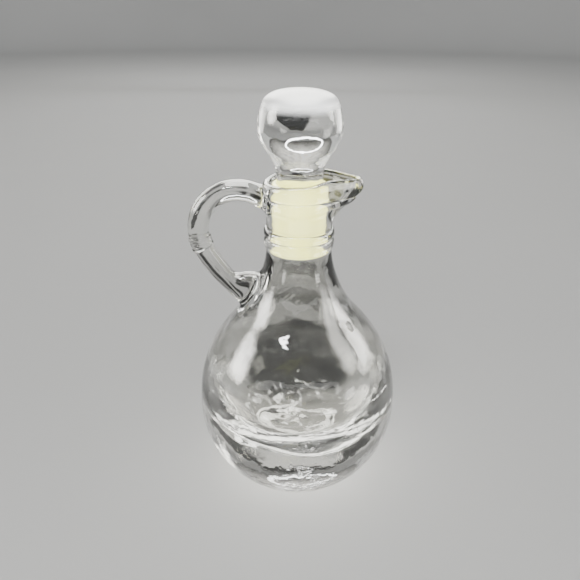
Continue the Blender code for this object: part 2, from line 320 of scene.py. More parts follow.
@dataclass(frozen=True)
class PressedGlass:
    """Clear pressed glass as it comes from its mould and from use.

    Its grey tint is painted shade: it darkens what is seen through the glass, less above the neck.
    Its normal carries slow waves, a finer peel and the stipple of the ring that it stands on. Its
    roughness carries smudges and a matt crown. A pale matt colour is mixed in: frost on the stipple,
    partly a painted glint; painted highlights in swirls on the floor of the inside; painted light
    in a faint cloud at the sides; and painted glare on the crown. A rise or a fall holds the start
    and the end of one smooth step, and a window those of two.
    """

    name: str
    axis_x: float
    # Painted shade: a grey tint that darkens what is seen through the glass, lighter above the neck.
    low_tint: Three = (0.690, 0.687, 0.660)
    high_tint: Three = (0.935, 0.933, 0.900)
    tint_rise: Two = mm(88.0, 106.0)
    tint_wander: float = 4.0 * MM
    refraction: float = 1.5
    relief: float = 0.6
    wave_size: float = 14.0 * MM
    wave_depth: float = 0.8 * MM
    fine_waves: float = 4.2
    fine_share: float = 0.14
    peel_size: float = 4.2 * MM
    peel_share: float = 0.24
    base_peel: float = 1.6
    base_fall: Two = mm(8.0, 30.0)
    relief_detail: float = 2.0
    relief_roughness: Three = (0.35, 0.4, 0.45)
    clean: float = 0.02
    film: float = 0.10
    smudge: Grain = Grain(70.0, 5.0, 0.62, (0.50, 0.78))
    streak: Grain = Grain(260.0, 4.0, 0.5, (0.42, 0.8))
    streak_stretch: Three = (1.0, 1.0, 0.25)
    crown_rise: Two = mm(153.5, 157.0)
    crown_rough: float = 0.26
    # Painted glare: share of pale matt colour on the crown.
    crown_glare_share: float = 0.55
    crown_glare_even: float = 0.55
    stipple_cells: float = 620.0
    stipple_share: float = 0.5
    stipple_window: Four = mm(14.5, 15.3, 23.2, 23.8)
    stipple_fall: Two = mm(2.0, 4.0)
    # Pale matt frost on the stipple, partly a painted glint.
    frost_and_glint_share: float = 0.8
    frost_and_glint_rise: Two = (0.04, 0.34)
    # Painted highlights: pale matt swirls on the floor of the inside.
    swirl: Grain = Grain(75.0, 3.0, 0.55, (0.50, 0.66), 2.6)
    swirl_glint_share: float = 0.5
    swirl_window: Four = mm(17.5, 18.5, 26.0, 29.0)
    swirl_fall: Two = mm(22.0, 28.0)
    clouds: Grain = Grain(90.0, 3.0, 0.5, (0.30, 0.62))
    # Painted light: a pale matt cloud on the sides of the inside.
    painted_side_light_share: float = 0.07
    haze_window: Four = mm(20.0, 25.0, 50.0, 62.0)
    painted_side_light_rise: Two = mm(17.0, 27.0)
    painted_side_light_fall: Two = mm(37.6, 38.2)
    pale_tint: Three = (0.95, 0.96, 0.95)
    pale_rough: float = 0.45

    def material(self) -> bpy.types.Material:
        """Build the shader: tint of painted shade, smudges, matt crown, relief, frost and painted light.

        Returns:
            The finished material.
        """
        graph = Graph.new(self.name)
        spot = graph.spot(self.axis_x)
        smudge = graph.grain(spot.vector, self.smudge)
        streak = graph.grain(graph.place(stretch=self.streak_stretch), self.streak)
        crown = graph.ramp(spot.z, self.crown_rise)
        graph.drive("Roughness", self.clean + self.film * smudge * streak + self.crown_rough * crown)
        # Painted shade: the grey tint, lighter above the neck.
        rise = graph.ramp(spot.z + self.tint_wander * smudge, self.tint_rise)
        graph.paint("Base Color", rise, self.low_tint, self.high_tint)
        scales = (1.0 / self.wave_size, self.fine_waves / self.wave_size, 1.0 / self.peel_size)
        waves, fine, peel = (graph.grain(spot.vector, Grain(scale, self.relief_detail, roughness))
                             for scale, roughness in zip(scales, self.relief_roughness))
        base = 1.0 - graph.ramp(spot.z, self.base_fall)
        stipple = self.stipple(graph, spot)
        relief = (waves + self.fine_share * fine + self.stipple_share * stipple
                  + self.peel_share * peel * (rise + self.base_peel * base))
        graph.bump(relief, self.relief, self.wave_depth)
        graph.constants(Transmission_Weight=1.0, IOR=self.refraction, Metallic=0.0)
        self.frost_and_painted_light(graph, spot, stipple, crown)
        return graph.material

    def frost_and_painted_light(self, graph: Graph, spot: Spot, stipple: Value, crown: Value) -> None:
        """Mix pale matt colour into the glass: frost and painted glints, highlights, light and glare.

        Args:
            graph: the glass's graph.
            spot: the point of the surface.
            stipple: height of the stipple.
            crown: 0 below the crown and 1 on it.
        """
        clouds = graph.grain(spot.vector, self.clouds)
        # Painted highlights in swirls on the floor of the inside.
        swirl = (self.swirl_glint_share * graph.grain(spot.vector, self.swirl)
                 * graph.window(spot.z, self.swirl_window) * (1.0 - graph.ramp(spot.radius, self.swirl_fall)))
        # Painted light: a pale matt cloud on the sides of the inside, lightening what shows dark there.
        sides = graph.ramp(graph.math("ABSOLUTE", spot.x), self.painted_side_light_rise)
        painted_side_light = (self.painted_side_light_share * clouds * sides * graph.window(spot.z, self.haze_window)
                * (1.0 - graph.ramp(spot.radius, self.painted_side_light_fall)))
        # Painted glare: the crown made pale.
        top = self.crown_glare_share * crown * (self.crown_glare_even + (1.0 - self.crown_glare_even) * clouds)
        # Frost on the stipple, partly a painted glint.
        spots = self.frost_and_glint_share * graph.ramp(stipple, self.frost_and_glint_rise)
        pale = graph.node("ShaderNodeBsdfPrincipled", Base_Color=(*self.pale_tint, 1.0),
                          Roughness=self.pale_rough)
        both = graph.node("ShaderNodeMixShader", in_0=graph.math("MAXIMUM", spots, swirl + painted_side_light + top),
                          in_1=graph.shader.outputs[0], in_2=pale.outputs[0])
        output = graph.material.node_tree.nodes["Material Output"]
        graph.feed(output.inputs["Surface"], both.outputs[0])

    def stipple(self, graph: Graph, spot: Spot) -> Value:
        """Small cells on the standing ring, faded out at its edges.

        Args:
            graph: the glass's graph.
            spot: the point of the surface.

        Returns:
            The stipple's height, 0 away from the ring.
        """
        ring = graph.window(spot.radius, self.stipple_window) * (1.0 - graph.ramp(spot.z, self.stipple_fall))
        cells = graph.node("ShaderNodeTexVoronoi", Vector=spot.vector, Scale=self.stipple_cells)
        return ring * Value(graph, cells.outputs["Distance"])


@dataclass(frozen=True)
class CreamPlastic:
    """Pale yellow, slightly see-through plastic with a satin skin."""

    name: str = "cream_plastic"
    light: Three = (0.995, 0.995, 0.38)
    deep: Three = (0.985, 0.985, 0.29)
    clouds: Grain = Grain(120.0, 3.0, 0.5, (0.35, 0.7))
    grain: Grain = Grain(2600.0, 2.0)
    grain_depth: float = 0.05 * MM
    relief: float = 0.12
    satin: float = 0.32
    satin_gain: float = 0.12
    refraction: float = 1.5
    milk: float = 0.3
    milk_depth: float = 2.0 * MM
    milk_tint: Three = (1.0, 1.0, 0.6)

    def material(self) -> bpy.types.Material:
        """Build the shader: soft colour clouds, and a fine moulded grain.

        Returns:
            The finished material.
        """
        graph = Graph.new(self.name)
        where = graph.place()
        graph.paint("Base Color", graph.grain(where, self.clouds), self.light, self.deep)
        grain = graph.grain(where, self.grain)
        graph.drive("Roughness", self.satin + self.satin_gain * grain)
        graph.bump(grain, self.relief, self.grain_depth)
        graph.constants(IOR=self.refraction, Subsurface_Weight=self.milk, Subsurface_Radius=self.milk_tint,
                        Subsurface_Scale=self.milk_depth)
        return graph.material


@dataclass(frozen=True)
class TableTop:
    """Plain pale table with a barely seen grain."""

    name: str = "pale_table"
    light: Three = (0.285, 0.284, 0.280)
    dark: Three = (0.267, 0.266, 0.262)
    clouds: Grain = Grain(6.0, 4.0)
    matt: float = 0.8
    shine: float = 0.1

    def material(self) -> bpy.types.Material:
        """Build the shader: matt, with soft clouds of tone.

        Returns:
            The finished material.
        """
        graph = Graph.new(self.name)
        graph.paint("Base Color", graph.grain(graph.place(), self.clouds), self.light, self.dark)
        graph.constants(Roughness=self.matt, Specular_IOR_Level=self.shine)
        return graph.material


def bezier(start: Any, pull_a: Any, pull_b: Any, end: Any, count: int) -> Array:
    """Points of a cubic curve, the sum of four points weighted by the Bernstein terms.

    Args:
        start, pull_a, pull_b, end: the curve's four points.
        count: number of steps.

    Returns:
        The points after the start, the end among them.
    """
    t = np.linspace(0.0, 1.0, count + 1)[1:, None]
    a, b, c, d = (np.array(point, float) for point in (start, pull_a, pull_b, end))
    return (1 - t) ** 3 * a + 3 * (1 - t) ** 2 * t * b + 3 * (1 - t) * t**2 * c + t**3 * d


def arc(centre: Any, radius: float, first: float, last: float, count: int) -> Array:
    """Points of a circle's arc: centre plus radius times the cosine and sine of an even turn."""
    angle = np.linspace(first, last, count)
    return np.stack([centre[0] + radius * np.cos(angle), centre[1] + radius * np.sin(angle)], 1)


def bead(radius: float, height: float, half: float, proud: float, count: int) -> Array:
    """Half an oval ring on a straight neck: radius plus proud times the sine of a half turn."""
    turn = np.linspace(0.0, math.pi, count)
    return np.stack([radius + proud * np.sin(turn), height - half * np.cos(turn)], 1)


def turned(profile: Array, steps: int) -> Array:
    """Grid of a turned surface: each profile point is swept through a full turn.

    Args:
        profile: (radius, height) rows.
        steps: columns round the axis.

    Returns:
        Array of rows by steps by 3, whose first column lies at +X.
    """
    angle = np.linspace(0.0, math.tau, steps, endpoint=False)
    x = profile[:, :1] * np.cos(angle)
    y = profile[:, :1] * np.sin(angle)
    return np.stack([x, y, np.broadcast_to(profile[:, 1:], x.shape)], 2)


def squares(rows: int, columns: int) -> tuple[Array, Array, Array]:
    """Number the points of a grid that closes on itself sideways, and join them in squares.

    Args:
        rows, columns: the grid's size.

    Returns:
        Each point's number, the number of the point beside it, and four corners for each square.
    """
    index = np.arange(rows * columns).reshape(rows, columns)
    beside = np.roll(index, -1, 1)
    return index, beside, np.stack([index[:-1], beside[:-1], beside[1:], index[1:]], 2).reshape(-1, 4)


def sewn(grid: Array, flip: bool = False, open_end: bool = False) -> tuple[Array, Array, Array]:
    """Close a grid whose first and last rows are drawn to one point.

    The middle rows are joined in squares round the axis, and each end in a fan about its mean.

    Args:
        grid: rows by columns by 3.
        flip: turn the faces round.
        open_end: leave the last row open, as a bowl's edge is.

    Returns:
        The vertices, the corners of all faces in one row, and each face's corner count.
    """
    columns = grid.shape[1]
    body = (grid[1:] if open_end else grid[1:-1]).reshape(-1, 3)
    poles = [grid[0].mean(0)[None]] + ([] if open_end else [grid[-1].mean(0)[None]])
    index, beside, quads = squares(len(body) // columns, columns)
    first = np.stack([np.full(columns, len(body)), beside[0], index[0]], 1)
    last = np.stack([np.full(columns, len(body) + 1), index[-1], beside[-1]], 1)
    fans = first if open_end else np.concatenate([first, last])
    if flip:
        quads, fans = quads[:, ::-1], fans[:, ::-1]
    loops = np.concatenate([quads.ravel(), fans.ravel()])
    sizes = np.concatenate([np.full(len(quads), 4), np.full(len(fans), 3)])
    return np.concatenate([body, *poles]), loops, sizes


def skin(name: str, grid: Array, flip: bool = False, open_end: bool = False) -> bpy.types.Object:
    """Object of a sewn grid."""
    return plain_object(name, *sewn(grid, flip, open_end))


def plain_object(name: str, verts: Array, loops: Array, sizes: Array) -> bpy.types.Object:
    """Make a smooth mesh object and link it to the scene.

    Args:
        name: the object's name.
        verts: its points, one in each row.
        loops: the corners of all its faces in one row.
        sizes: each face's corner count.

    Returns:
        The object.
    """
    mesh = bpy.data.meshes.new(name)
    mesh.vertices.add(len(verts))
    mesh.vertices.foreach_set("co", np.ascontiguousarray(verts, dtype=np.float32).ravel())
    mesh.loops.add(len(loops))
    mesh.loops.foreach_set("vertex_index", loops.astype(np.int32))
    mesh.polygons.add(len(sizes))
    starts = np.concatenate([[0], np.cumsum(sizes)[:-1]])
    mesh.polygons.foreach_set("loop_start", starts.astype(np.int32))
    mesh.update(calc_edges=True)
    mesh.validate()
    mesh.shade_smooth()
    thing = bpy.data.objects.new(name, mesh)
    bpy.context.scene.collection.objects.link(thing)
    return thing


def plate(name: str, centre: Array, across: Array, upward: Array) -> bpy.types.Object:
    """Flat plate with rounded corners, which keeps each point's share of the way to the edge.

    The points are the centre plus the two reaches times the cosine and sine of an even turn,
    each raised to a low power that squares the oval, times an even share.

    Args:
        name: the object's name.
        centre, across, upward: the middle and the two half sides.

    Returns:
        The object, with its shares in the attribute "share".
    """
    turn = np.linspace(0.0, math.tau, PLATE_COLUMNS, endpoint=False)
    side, rise = (np.sign(wave) * np.abs(wave) ** PLATE_POWER for wave in (np.cos(turn), np.sin(turn)))
    share = np.linspace(0.0, 1.0, PLATE_ROWS)
    spread = side[:, None] * np.array(across) + rise[:, None] * np.array(upward)
    flat = skin(name, np.array(centre) + share[:, None, None] * spread, open_end=True)
    kept = flat.data.attributes.new("share", "FLOAT", "POINT")
    kept.data.foreach_set("value", np.append(np.repeat(share[1:], len(turn)), 0.0).astype(np.float32))
    return flat


def move(grid: Array, axis_x: float) -> Array:
    """The grid moved from its own axis to the object's."""
    return grid + np.array([axis_x, 0.0, 0.0])


def waves(rows: tuple[Four, ...], angle: Array, along: Array) -> Array:
    """Sum of waves: each share times the sine of lobes times angle, phase, and along over pitch.

    Args:
        rows: share, lobes, phase and pitch of each wave.
        angle: turn about the axis.
        along: way along the wall.

    Returns:
        The sum at each point.
    """
    return sum(share * np.sin(lobes * angle + phase + along / pitch)
               for share, lobes, phase, pitch in rows)


def hide(thing: bpy.types.Object, *rays: Ray) -> None:
    """Let some kinds of ray pass a thing by."""
    for ray in rays:
        setattr(thing, ray.value, False)


def dress(thing: bpy.types.Object, material: bpy.types.Material, slot: Slot, *nodes: str) -> None:
    """Give a piece its material, its body and the nodes that it stands for.

    Args:
        thing: the piece.
        material: its finish.
        slot: the record's slot for that finish; not used.
        nodes: the nodes that the piece replaces.
    """
    thing.data.materials.clear()
    thing.data.materials.append(material)
    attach(thing, ROOT)
    if nodes:
        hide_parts(*nodes)
    LOG.info("%s: %d faces", thing.name, len(thing.data.polygons))


@dataclass
class Handle:
    """Round glass handle: a loop beside the neck and a leg down to the shoulder."""

    centre: Two = mm(-23.2, 108.5)
    loop_radius: float = 15.65 * MM
    loop_start: float = math.radians(63.0)
    radius: float = 4.1 * MM
    lower_radius: float = 3.85 * MM
    top_end: Two = mm(-11.4, 121.1)
    top_pull: float = 1.8 * MM
    foot_end: Two = mm(-18.9, 78.2)
    foot_pull: Two = mm(-31.5, 90.6)
    side_pull: float = 8.2 * MM
    collar_height: float = 103.4 * MM
    collar_beads: int = 3
    collar_pitch: float = 1.7 * MM
    collar_proud: float = 0.5 * MM
    flare_gain: float = 1.2 * MM
    flare_length: float = 3.0 * MM
    pad_centre: Three = (-19.8 * MM, 0.0, 84.6 * MM)
    pad_radii: Three = mm(7.8, 4.7, 6.6)
    # Middle (x, height) and reach of the rounded corners where the handle meets the wall.
    creases: tuple[Three, ...] = (mm(-13.6, 121.1, 8.0), mm(-20.5, 83.0, 14.0))
    taper_start: float = 0.4
    collar_round: float = 0.8
    step: float = 0.42 * MM
    sides: int = 56

    def path(self) -> Array:
        """Draw the middle line at even steps, from the mouth round to the shoulder.

        Returns:
            (x, z) rows.
        """
        loop = arc(self.centre, self.loop_radius, self.loop_start, math.pi, 60)
        side = loop[-1]
        along = np.array([math.sin(self.loop_start), -math.cos(self.loop_start)])
        start = np.array(self.top_end)
        entry = bezier(start, start - (self.top_pull, 0), loop[0] + self.top_pull * along, loop[0], 24)
        leg = bezier(side, (side[0], side[1] - self.side_pull), self.foot_pull, self.foot_end, 90)
        rough = np.concatenate([start[None], entry, loop[1:], leg])
        run = np.append(0.0, np.cumsum(np.linalg.norm(np.diff(rough, axis=0), axis=1)))
        even = np.linspace(0.0, run[-1], int(run[-1] / self.step))
        return np.stack([np.interp(even, run, rough[:, 0]), np.interp(even, run, rough[:, 1])], 1)

    def radii(self, path: Array) -> Array:
        """Radius along the path: a taper, the collar's beads and a flare at both ends.

        Args:
            path: (x, z) rows.

        Returns:
            A radius for each row.
        """
        run = np.append(0.0, np.cumsum(np.linalg.norm(np.diff(path, axis=0), axis=1)))
        taper = np.interp(run, (self.taper_start * run[-1], run[-1]), (self.radius, self.lower_radius))
        flare = np.exp(-run / self.flare_length) + np.exp((run - run[-1]) / self.flare_length)
        below = np.arange(len(path)) > len(path) // 3
        middle = np.interp(-self.collar_height, -path[below, 1], run[below])
        phase = (run - middle) / self.collar_pitch + 0.5 * self.collar_beads
        inside = (phase > 0.0) & (phase < self.collar_beads)
        collar = np.where(inside, np.abs(np.sin(np.pi * phase)) ** self.collar_round, 0.0)
        return taper + self.flare_gain * flare + self.collar_proud * collar

    def tube(self) -> Array:
        """Sweep a circle along the path, in the plane across it.

        Returns:
            Array of path points by sides by 3.
        """
        path = self.path()
        ahead = np.gradient(path, axis=0)
        ahead /= np.linalg.norm(ahead, axis=1)[:, None]
        turn = np.linspace(0.0, math.tau, self.sides, endpoint=False)
        out = self.radii(path)[:, None] * np.cos(turn)
        across = self.radii(path)[:, None] * np.sin(turn)
        x = path[:, :1] - ahead[:, 1:] * out
        z = path[:, 1:] + ahead[:, :1] * out
        grid = np.stack([x, across, z], 2)
        return np.concatenate([grid[:1], grid, grid[-1:]])

    def pad(self) -> Array:
        """Grid of the pad at the handle's foot: an oval ball, by latitude and longitude."""
        rise = np.linspace(0.0, math.pi, 40)
        ball = turned(np.stack([np.sin(rise), np.cos(rise)], 1), 64)
        return ball * np.array(self.pad_radii) + np.array(self.pad_centre)


@dataclass
class Bottle:
    """Glass bottle: a turned wall with beads, a lip drawn to a spout, and the handle."""

    axis_x: float
    handle: Handle = field(default_factory=Handle)
    steps: int = 256
    foot_inner: float = 18.8 * MM
    foot_outer: float = 22.4 * MM
    foot_hollow: float = 1.8 * MM
    foot_angle: float = math.radians(-52.5)
    hollow_pulls: Two = mm(9.0, 15.0)
    edge_inset: float = 0.4 * MM
    edge_pull: float = 0.5 * MM
    edge_lead: Two = mm(0.72, 0.54)
    belly_radius: float = 41.0 * MM
    belly_height: float = 33.5 * MM
    belly_pull: float = 17.8 * MM
    shoulder: Two = mm(24.0, 74.4)
    shoulder_slope: float = math.radians(43.0)
    shoulder_pull: float = 17.3 * MM
    neck_shoulder_pull: float = 9.5 * MM
    neck_radius: float = 12.75 * MM
    neck_foot: float = 102.0 * MM
    neck_pull: float = 8.0 * MM
    lower_bead: Two = mm(104.4, 2.2)
    upper_bead: Two = mm(108.4, 1.8)
    bead_proud: float = 0.9 * MM
    waist: Three = mm(12.5, 112.6, 116.0)
    ring: Two = mm(120.9, 1.7)
    ring_proud: float = 0.9 * MM
    ring_step: float = 0.2 * MM
    lip_step: float = 0.3 * MM
    lip_lead: float = 0.8 * MM
    lip_pull: float = 1.3 * MM
    rim_pulls: Two = mm(0.9, 1.2)
    rim_end: float = 0.3 * MM
    over_rows: int = 7
    lip_radius: float = 14.2 * MM
    lip_inner: float = 11.0 * MM
    lip_height: float = 129.2 * MM
    lip_outer_height: float = 126.1 * MM
    funnel_start: float = 0.6 * MM
    bore_radius: float = 10.65 * MM
    bore_mouth: float = 122.8 * MM
    spout_reach: float = 23.8 * MM
    spout_tip: float = 2.7 * MM
    rim_rise: float = 1.1 * MM
    rim_rise_angle: float = math.radians(36.0)
    rim_rise_width: float = math.radians(28.0)
    rim_drop: float = 1.4 * MM
    spout_span: Two = mm(110.8, 125.8)
    channel_span: Two = mm(114.2, 129.2)
    swell_pulls: Two = (0.46, 0.70)
    base_thickness: float = 20.0 * MM
    floor_pull: float = 23.0 * MM
    cavity_radius: float = 37.0 * MM
    cavity_height: float = 45.0 * MM
    cavity_pulls: Two = mm(11.5, 12.0)
    cavity_shoulder_pulls: Two = mm(6.5, 10.0)
    cavity_shoulder: Two = mm(20.6, 73.0)
    cavity_neck: float = 98.0 * MM
    cavity_neck_pull: float = 12.0 * MM
    # Share, lobes, phase and pitch of each wave.
    ripples: tuple[Four, ...] = (
        (1.0, 2, 1.1, 9.0 * MM), (0.6, 3, 0.0, -6.5 * MM), (0.5, 1, 0.4, math.inf))
    ripple_depth: float = 0.28 * MM
    ripple_radii: Two = mm(13.0, 33.0)
    swirls: tuple[Four, ...] = (
        (1.0, 3, 0.0, 3.1 * MM), (0.7, 2, 0.0, -2.3 * MM), (0.35, 5, 0.0, 1.5 * MM))
    swirl_depth: float = 0.9 * MM
    swirl_heights: Two = mm(26.0, 40.0)
    swirl_core: float = 6.0 * MM
    soft_rounds: int = 70
    soft_pace: float = 0.6
    soft_gain: float = 1.6
    soft_skin: Two = mm(1.0, 1.8)
    # Turn about the axis, height and radius of each bubble.
    bubbles: tuple[Three, ...] = (
        (-2.714, 52.3 * MM, 0.75 * MM), (-2.997, 55.8 * MM, 0.63 * MM), (-2.108, 56.8 * MM, 0.70 * MM),
        (-1.557, 64.5 * MM, 0.62 * MM), (-0.361, 54.4 * MM, 0.80 * MM), (-2.669, 46.2 * MM, 0.55 * MM),
        (-0.913, 67.3 * MM, 0.48 * MM), (1.2, 50.0 * MM, 0.68 * MM), (2.2, 61.0 * MM, 0.57 * MM))

    def outside(self) -> Array:
        """Draw the outside from the foot's middle up to the lip's outer bulge.

        Returns:
            (radius, height) rows.
        """
        slope = np.array([-math.sin(self.shoulder_slope), math.cos(self.shoulder_slope)])
        shoulder = np.array(self.shoulder)
        ring_z, ring_half = self.ring
        ring_r = self.neck_radius + self.ring_step
        pull_a, pull_b = self.hollow_pulls
        hollow = bezier((0, self.foot_hollow), (pull_a, self.foot_hollow), (pull_b, self.foot_hollow),
                        (self.foot_inner, 0), 20)
        belly = arc((0, self.belly_height), self.belly_radius, self.foot_angle, 0.0, 50)
        edge = bezier((self.foot_outer - self.edge_inset, 0), (self.foot_outer + self.edge_pull, 0),
                      belly[0] - self.edge_lead, belly[0], 6)
        rise = bezier((self.belly_radius, self.belly_height),
                      (self.belly_radius, self.belly_height + self.belly_pull),
                      shoulder - self.shoulder_pull * slope, shoulder, 36)
        neck = bezier(shoulder, shoulder + self.neck_shoulder_pull * slope,
                      (self.neck_radius, self.neck_foot - self.neck_pull),
                      (self.neck_radius, self.neck_foot), 28)
        waist_r, waist_low, waist_high = self.waist
        lip = bezier((self.neck_radius + self.lip_step, ring_z + ring_half),
                     (self.lip_radius - self.lip_lead, ring_z + ring_half + self.lip_lead),
                     (self.lip_radius, self.lip_outer_height - self.lip_pull),
                     (self.lip_radius, self.lip_outer_height), 10)
        waist = bezier((self.neck_radius, sum(self.upper_bead)), (waist_r, waist_low),
                       (waist_r, waist_high), (ring_r, ring_z - ring_half), 14)
        return np.concatenate([
            [(0, self.foot_hollow)], hollow, [(0.5 * (self.foot_inner + self.foot_outer), 0)],
            edge, belly[1:], rise, neck,
            bead(self.neck_radius, *self.lower_bead, self.bead_proud, 16)[1:],
            bead(self.neck_radius, *self.upper_bead, self.bead_proud, 16)[1:], waist[:-1],
            bead(ring_r, ring_z, ring_half, self.ring_proud, 14), lip])

    def inside(self) -> Array:
        """Draw the inside over the lip, down the bore and to the middle of the floor.

        Returns:
            (radius, height) rows.
        """
        rise, tuck = self.rim_pulls
        over = bezier((self.lip_radius, self.lip_outer_height), (self.lip_radius, self.lip_height + rise),
                      (self.lip_inner, self.lip_height + tuck),
                      (self.lip_inner, self.lip_outer_height + self.rim_end), 20)
        funnel = np.linspace(self.lip_outer_height - self.funnel_start, self.bore_mouth, 4)
        heights = np.append(funnel, np.linspace(self.bore_mouth, self.cavity_neck, 16)[1:])
        bore = np.stack([np.interp(heights, (self.bore_mouth, self.lip_outer_height),
                                   (self.bore_radius, self.lip_inner)), heights], 1)
        shoulder = np.array(self.cavity_shoulder)
        neck_side, belly_side = self.cavity_shoulder_pulls
        upper, lower = self.cavity_pulls
        down = bezier(bore[-1], (self.bore_radius, self.cavity_neck - self.cavity_neck_pull),
                      shoulder + (-neck_side, neck_side), shoulder, 22)
        belly = bezier(shoulder, shoulder + (belly_side, -belly_side),
                       (self.cavity_radius, self.cavity_height + upper),
                       (self.cavity_radius, self.cavity_height), 26)
        floor = bezier(belly[-1], (self.cavity_radius, self.cavity_height - lower),
                       (self.floor_pull, self.base_thickness), (0, self.base_thickness), 40)
        return np.concatenate([over, bore, down, belly, floor])

    def spout_share(self, angle: Array) -> Array:
        """Share of the spout's reach, from the hull of the mouth's circle and the tip's circle.

        Args:
            angle: turn from the spout's middle.

        Returns:
            1 at the spout's tip, 0 where the mouth is round.
        """
        centre = self.spout_reach - self.spout_tip
        leave = math.acos((self.lip_radius - self.spout_tip) / centre)
        turn = np.abs(np.arctan2(np.sin(angle), np.cos(angle)))
        side = self.lip_radius / np.cos(leave - turn)
        inside = np.maximum(self.spout_tip**2 - (centre * np.sin(turn)) ** 2, 0.0)
        tip = np.where(inside > 0.0, centre * np.cos(turn) + np.sqrt(inside), side)
        share = (np.minimum(side, tip) - self.lip_radius) / (self.spout_reach - self.lip_radius)
        return np.where(turn < leave, share, 0.0)

    def swell(self, height: Array, span: Two) -> Array:
        """Opening of the spout by height, an S curve over the span.

        Args:
            height: heights to read it at.
            span: heights where it starts and is full.

        Returns:
            0 below the span and 1 above it.
        """
        start, full = span
        low, high = (start + share * (full - start) for share in self.swell_pulls)
        curve = bezier((start, 0), (low, 0), (high, 1), (full, 1), 60)
        return np.interp(height, np.append(start, curve[:, 0]), np.append(0.0, curve[:, 1]))

    def rim_lift(self, angle: Array) -> Array:
        """Height of the rim: a bell on both sides of the spout, less a dip at the handle.

        Args:
            angle: turn from the spout's middle.

        Returns:
            The rise at each angle.
        """
        turn = np.abs(np.arctan2(np.sin(angle), np.cos(angle)))
        rise = self.rim_rise * np.exp(-(((turn - self.rim_rise_angle) / self.rim_rise_width) ** 2))
        return rise - self.rim_drop * (0.5 - 0.5 * np.cos(turn)) ** 3

    def draw_spout(self, grid: Array, span: Two) -> Array:
        """Pull a turned grid out to the spout.

        The radius grows by the spout's share at the angle times its swell at the height, and
        the rim rises by the lift, which fades in above the bore's mouth.

        Args:
            grid: rows by columns by 3.
            span: heights where the spout starts and is full.

        Returns:
            The drawn grid.
        """
        x, y, z = np.moveaxis(grid, 2, 0)
        radius = np.hypot(x, y)
        angle = np.arctan2(y, x)
        reach = (self.spout_reach - self.lip_radius) * self.spout_share(angle) * self.swell(z, span)
        scale = 1.0 + reach / np.maximum(radius, 0.1 * MM)
        fade = np.clip((z - self.bore_mouth) / (self.lip_height - self.bore_mouth), 0.0, None)
        return np.stack([x * scale, y * scale, z + fade * self.rim_lift(angle)], 2)

    def uneven(self, grid: Array) -> Array:
        """Make the inside uneven, as it was blown: ripples on the sides and swirls on the floor.

        Args:
            grid: rows by columns by 3.

        Returns:
            The grid with its radius and height changed, unchanged in the bore.
        """
        x, y, z = np.moveaxis(grid, 2, 0)
        angle = np.arctan2(y, x)
        radius = np.hypot(x, y)
        sides = np.interp(radius, self.ripple_radii, (0.0, 1.0))
        ripple = self.ripple_depth * sides * waves(self.ripples, angle, z)
        scale = 1.0 + ripple / np.maximum(radius, MM)
        floor = np.interp(z, self.swirl_heights, (1.0, 0.0)) * np.clip(radius / self.swirl_core, 0.0, 1.0)
        lift = self.swirl_depth * floor * waves(self.swirls, angle, radius)
        return np.stack([x * scale, y * scale, z + lift], 2)

    def wall(self) -> Array:
        """Draw the whole wall: the outside and the inside apart, joined at the lip.

        Returns:
            Rows by columns by 3.
        """
        outer = self.draw_spout(turned(self.outside(), self.steps), self.spout_span)
        inner = turned(self.inside(), self.steps)
        over = self.draw_spout(inner[:self.over_rows], self.spout_span)
        rest = self.uneven(self.draw_spout(inner[self.over_rows:], self.channel_span))
        return np.concatenate([outer, over, rest])

    def seeds(self) -> bpy.types.Object:
        """Make small bubbles in the wall: one ball by latitude, copied to each place at its size.

        Returns:
            One object of all the balls.
        """
        turn, height, size = np.array(self.bubbles).T
        outer, inner = self.outside(), self.inside()
        order = np.argsort(inner[:, 1])
        low = len(outer) // 4
        radius = 0.5 * (np.interp(height, outer[low:, 1], outer[low:, 0])
                        + np.interp(height, inner[order, 1], inner[order, 0]))
        centre = np.stack([self.axis_x + radius * np.cos(turn), radius * np.sin(turn), height], 1)
        rise = np.linspace(0.0, math.pi, 9)
        ball, loops, sizes = sewn(turned(np.stack([np.sin(rise), np.cos(rise)], 1), 14), flip=True)
        verts = (centre[:, None] + size[:, None, None] * ball).reshape(-1, 3)
        first = np.arange(len(size))[:, None] * len(ball)
        return plain_object("seeds", verts, (loops + first).ravel(), np.tile(sizes, len(size)))

    def fuse(self, base: bpy.types.Object, tool: bpy.types.Object, how: Fuse) -> None:
        """Make one closed skin of two.

        Args:
            base: the object that keeps the result.
            tool: the object that is joined or cut out, and then removed.
            how: join or cut out.
        """
        joint = base.modifiers.new("Fuse", "BOOLEAN")
        joint.operation = how.value
        joint.solver = "MANIFOLD"
        joint.object = tool
        graph = bpy.context.evaluated_depsgraph_get()
        mesh = bpy.data.meshes.new_from_object(base.evaluated_get(graph))
        base.modifiers.clear()
        old = base.data
        base.data = mesh
        bpy.data.meshes.remove(old)
        bpy.data.objects.remove(tool)

